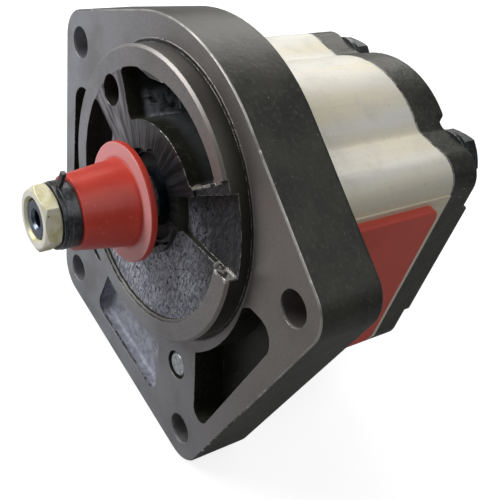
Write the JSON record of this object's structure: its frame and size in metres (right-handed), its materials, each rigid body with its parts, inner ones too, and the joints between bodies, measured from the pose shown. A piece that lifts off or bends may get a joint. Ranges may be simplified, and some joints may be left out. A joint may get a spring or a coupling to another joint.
{
  "type": "hydraulic gear pump",
  "caption": "External gear pump with a black cast flange, an aluminium body and a tapered keyed drive shaft that carries a nut and a red transport guard.",
  "frame": {"origin": "on the drive shaft's axis, in the plane of the flange's mounting face", "axes": "-Y along the drive shaft to its threaded end, +Z from the driven gear to the drive gear, +X to the outlet side"},
  "size_m": [0.1472, 0.1358, 0.1335],
  "materials": {
    "black_cast_iron": "black paint over cast iron, machined grey on the mounting face",
    "body_aluminium": "extruded, satin",
    "block_aluminium": "machined",
    "bronze": "bronze bush with a dull lining",
    "ground_steel": "ground",
    "black_steel": "black phosphate",
    "zinc_steel": "yellow zinc plate",
    "guard_plastic": "soft red-orange moulding",
    "cover_plastic": "brick red moulding",
    "seal_rubber": "moulded",
    "backup_plastic": "white ring"
  },
  "bodies": {
    "housing": {"front_flange": "black_cast_iron", "rear_cover": "black_cast_iron", "pump_body": "body_aluminium", "body_bolts": "black_steel", "bolt_washers": "black_steel", "seal_circlip": "black_steel", "front_bearing_block": "block_aluminium", "rear_bearing_block": "block_aluminium", "drive_front_bush": "bronze", "drive_rear_bush": "bronze", "driven_front_bush": "bronze", "driven_rear_bush": "bronze", "shaft_seal": "seal_rubber", "front_body_seal": "seal_rubber", "rear_body_seal": "seal_rubber", "front_balance_seal": "seal_rubber", "rear_balance_seal": "seal_rubber", "front_backup_ring": "backup_plastic", "rear_backup_ring": "backup_plastic", "front_dowels": "ground_steel", "rear_dowels": "ground_steel", "port_cover_right": "cover_plastic", "port_cover_left": "cover_plastic"},
    "drive": {"drive_gear": "ground_steel", "woodruff_key": "ground_steel", "shaft_guard": "guard_plastic", "spring_washer": "black_steel", "tab_washer": "black_steel", "flat_washer": "black_steel", "shaft_nut": "zinc_steel"},
    "driven": {"driven_gear": "ground_steel"}
  },
  "joints": [
    {"name": "drive_spin", "type": "hinge", "parent": "housing", "child": "drive", "pos_m": [0, 0, 0], "axis": [0, -1, 0], "continuous": true},
    {"name": "driven_spin", "type": "hinge", "parent": "housing", "child": "driven", "pos_m": [0, 0, -0.03], "axis": [0, -1, 0], "continuous": true}
  ],
  "couplings": [
    {"joint": "driven_spin", "follows": "drive_spin", "ratio": -1}
  ]
}
